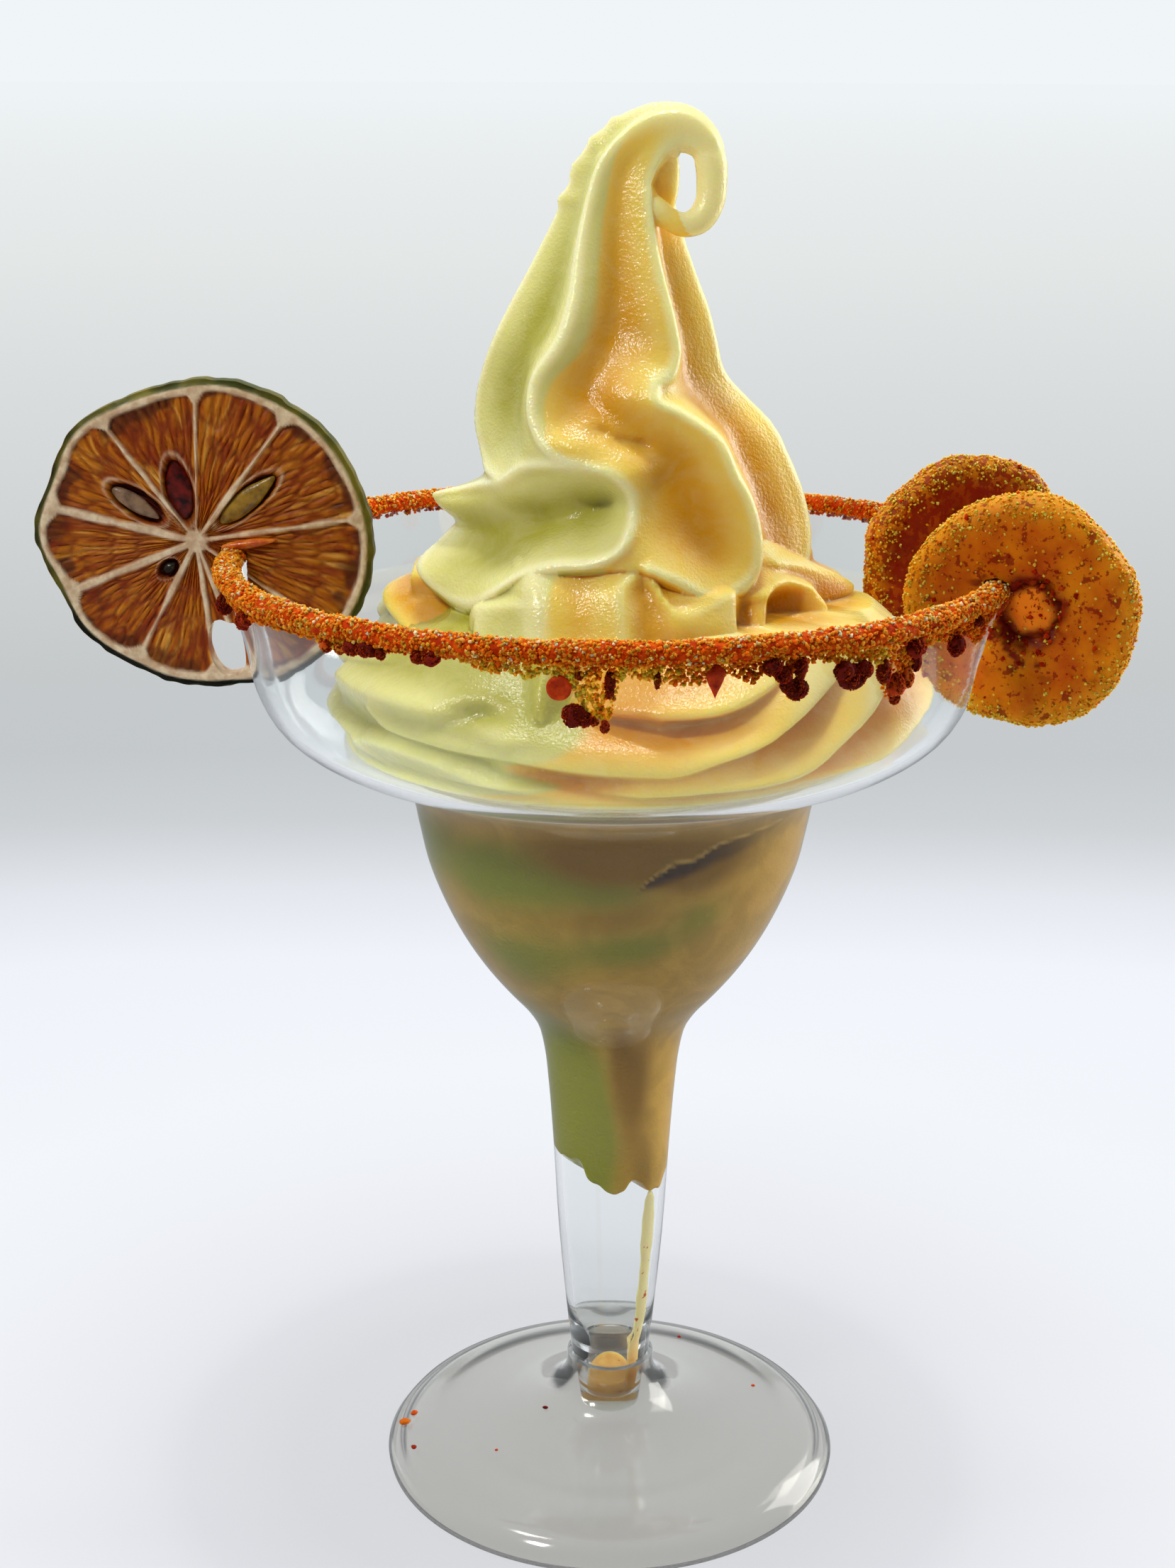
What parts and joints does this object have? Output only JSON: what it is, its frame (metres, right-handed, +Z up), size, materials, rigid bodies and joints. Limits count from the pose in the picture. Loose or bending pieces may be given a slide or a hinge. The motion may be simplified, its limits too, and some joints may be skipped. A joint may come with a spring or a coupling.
{
  "type": "frozen margarita",
  "caption": "Frozen cocktail piped as a tall fluted swirl in a clear saucer glass with a plug-in foot, a spiced salt rim, a dried lime slice and gummy rings.",
  "frame": {"origin": "middle of the whole object's extent, on the surface the foot stands on", "axes": "+Z up along the glass's axis, -Y towards the side seen in front, +X towards the gummy rings"},
  "size_m": [0.158, 0.1195, 0.2133],
  "materials": {
    "clear_plastic": "clear moulded plastic, gloss",
    "frozen_drink": "soft wet ice",
    "melted_drink": "wet, translucent",
    "chili_salt": "coarse damp crust of salt and chili",
    "dried_lime": "dried fruit, slightly glossy flesh",
    "chili_gummy": "translucent gummy with a dusting of spice"
  },
  "bodies": {
    "root": {"glass_bowl": "clear_plastic", "glass_foot": "clear_plastic", "frozen_margarita": "frozen_drink", "stem_melt": "melted_drink", "rim_crust": "chili_salt", "lime_slice": "dried_lime", "gummy_ring_front": "chili_gummy", "gummy_ring_back": "chili_gummy"}
  },
  "joints": []
}
